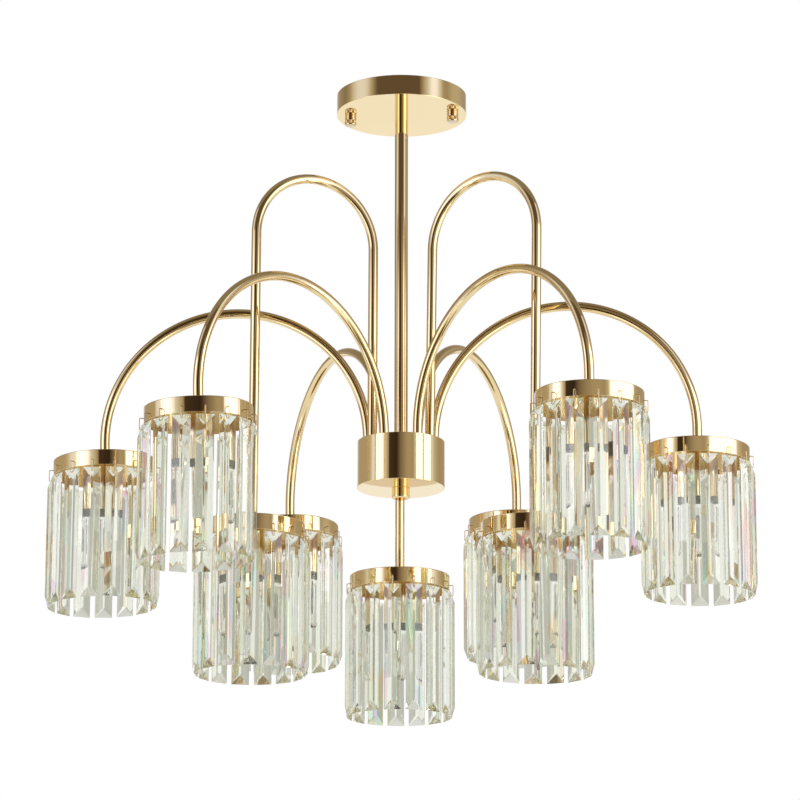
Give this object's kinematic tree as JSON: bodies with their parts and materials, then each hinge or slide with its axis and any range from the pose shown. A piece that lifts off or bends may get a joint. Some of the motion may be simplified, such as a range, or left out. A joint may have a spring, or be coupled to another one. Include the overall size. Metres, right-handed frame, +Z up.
{
  "type": "multi arm chandelier",
  "caption": "Ceiling chandelier with arching tube arms on a drum hub, each ending in a round cap hung with bevelled crystal drops around a bare capsule bulb.",
  "frame": {"origin": "on the rod axis in the ceiling plane, at the top face of the ceiling bracket", "axes": "+Z up, rod and hub axis along Z; +X to the right and -Y towards the front, the side the room sees first"},
  "size_m": [0.7271, 0.6439, 0.644],
  "materials": {
    "polished_gold": "mirror-polished pale gold plate",
    "plated_steel": "zinc plated",
    "crystal": "clear cut crystal",
    "bulb_glass": "clear",
    "dark_plastic": "satin dark grey",
    "white_plastic": "matt white",
    "lead_sheath": "smooth sheath"
  },
  "bodies": {
    "fixture": {"arm_1": "polished_gold", "arm_2": "polished_gold", "arm_3": "polished_gold", "arm_4": "polished_gold", "arm_5": "polished_gold", "arm_6": "polished_gold", "arm_7": "polished_gold", "arm_8": "polished_gold", "arm_9": "polished_gold", "arm_leads": "lead_sheath", "arm_nipples": "plated_steel", "arm_nuts": "plated_steel", "bracket_studs": "plated_steel", "canopy": "polished_gold", "canopy_nipple": "plated_steel", "cap_1": "polished_gold", "cap_2": "polished_gold", "cap_3": "polished_gold", "cap_4": "polished_gold", "cap_5": "polished_gold", "cap_6": "polished_gold", "cap_7": "polished_gold", "cap_8": "polished_gold", "cap_9": "polished_gold", "cap_nipples": "plated_steel", "ceiling_bracket": "plated_steel", "crystals_1": "crystal", "crystals_2": "crystal", "crystals_3": "crystal", "crystals_4": "crystal", "crystals_5": "crystal", "crystals_6": "crystal", "crystals_7": "crystal", "crystals_8": "crystal", "crystals_9": "crystal", "down_rod": "polished_gold", "hub_cup": "polished_gold", "hub_plate": "polished_gold", "hub_stud": "plated_steel", "junction_ring": "white_plastic", "lamp_holders": "dark_plastic", "links": "polished_gold", "rod_lead": "lead_sheath", "rod_nuts": "plated_steel", "sleeve_nuts": "plated_steel", "socket_sleeves": "polished_gold", "terminal_block": "white_plastic"},
    "thumb_nut_1": {"thumb_nut_1": "polished_gold"},
    "thumb_nut_2": {"thumb_nut_2": "polished_gold"},
    "finial": {"finial": "polished_gold"},
    "bulb_1": {"bulb_1": "bulb_glass"},
    "bulb_2": {"bulb_2": "bulb_glass"},
    "bulb_3": {"bulb_3": "bulb_glass"},
    "bulb_4": {"bulb_4": "bulb_glass"},
    "bulb_5": {"bulb_5": "bulb_glass"},
    "bulb_6": {"bulb_6": "bulb_glass"},
    "bulb_7": {"bulb_7": "bulb_glass"},
    "bulb_8": {"bulb_8": "bulb_glass"},
    "bulb_9": {"bulb_9": "bulb_glass"}
  },
  "joints": [
    {"name": "thumb_nut_1_turn", "type": "hinge", "parent": "fixture", "child": "thumb_nut_1", "pos_m": [-0.05419, 0.00665, -0.0262], "axis": [0, 0, 1], "continuous": true},
    {"name": "thumb_nut_2_turn", "type": "hinge", "parent": "fixture", "child": "thumb_nut_2", "pos_m": [0.05419, -0.00665, -0.0262], "axis": [0, 0, 1], "continuous": true},
    {"name": "finial_turn", "type": "hinge", "parent": "fixture", "child": "finial", "pos_m": [0, 0, -0.4341], "axis": [0, 0, 1], "continuous": true},
    {"name": "bulb_1_pull", "type": "slide", "parent": "fixture", "child": "bulb_1", "axis": [-0.0164, 0.0027, -0.9999], "range_m": [0, 0.018]},
    {"name": "bulb_2_pull", "type": "slide", "parent": "fixture", "child": "bulb_2", "axis": [-0.0106, -0.0237, -0.9997], "range_m": [0, 0.018]},
    {"name": "bulb_3_pull", "type": "slide", "parent": "fixture", "child": "bulb_3", "axis": [-0.0001, 0.0124, -0.9999], "range_m": [0, 0.018]},
    {"name": "bulb_4_pull", "type": "slide", "parent": "fixture", "child": "bulb_4", "axis": [0.0197, -0.0468, -0.9987], "range_m": [0, 0.018]},
    {"name": "bulb_5_pull", "type": "slide", "parent": "fixture", "child": "bulb_5", "axis": [0.0298, -0.0005, -0.9996], "range_m": [0, 0.018]},
    {"name": "bulb_6_pull", "type": "slide", "parent": "fixture", "child": "bulb_6", "axis": [-0.0022, -0.0011, -1], "range_m": [0, 0.018]},
    {"name": "bulb_7_pull", "type": "slide", "parent": "fixture", "child": "bulb_7", "axis": [0.0313, 0.0354, -0.9989], "range_m": [0, 0.018]},
    {"name": "bulb_8_pull", "type": "slide", "parent": "fixture", "child": "bulb_8", "axis": [-0.0025, 0.0033, -1], "range_m": [0, 0.018]},
    {"name": "bulb_9_pull", "type": "slide", "parent": "fixture", "child": "bulb_9", "axis": [-0.0141, 0.0112, -0.9998], "range_m": [0, 0.018]}
  ]
}
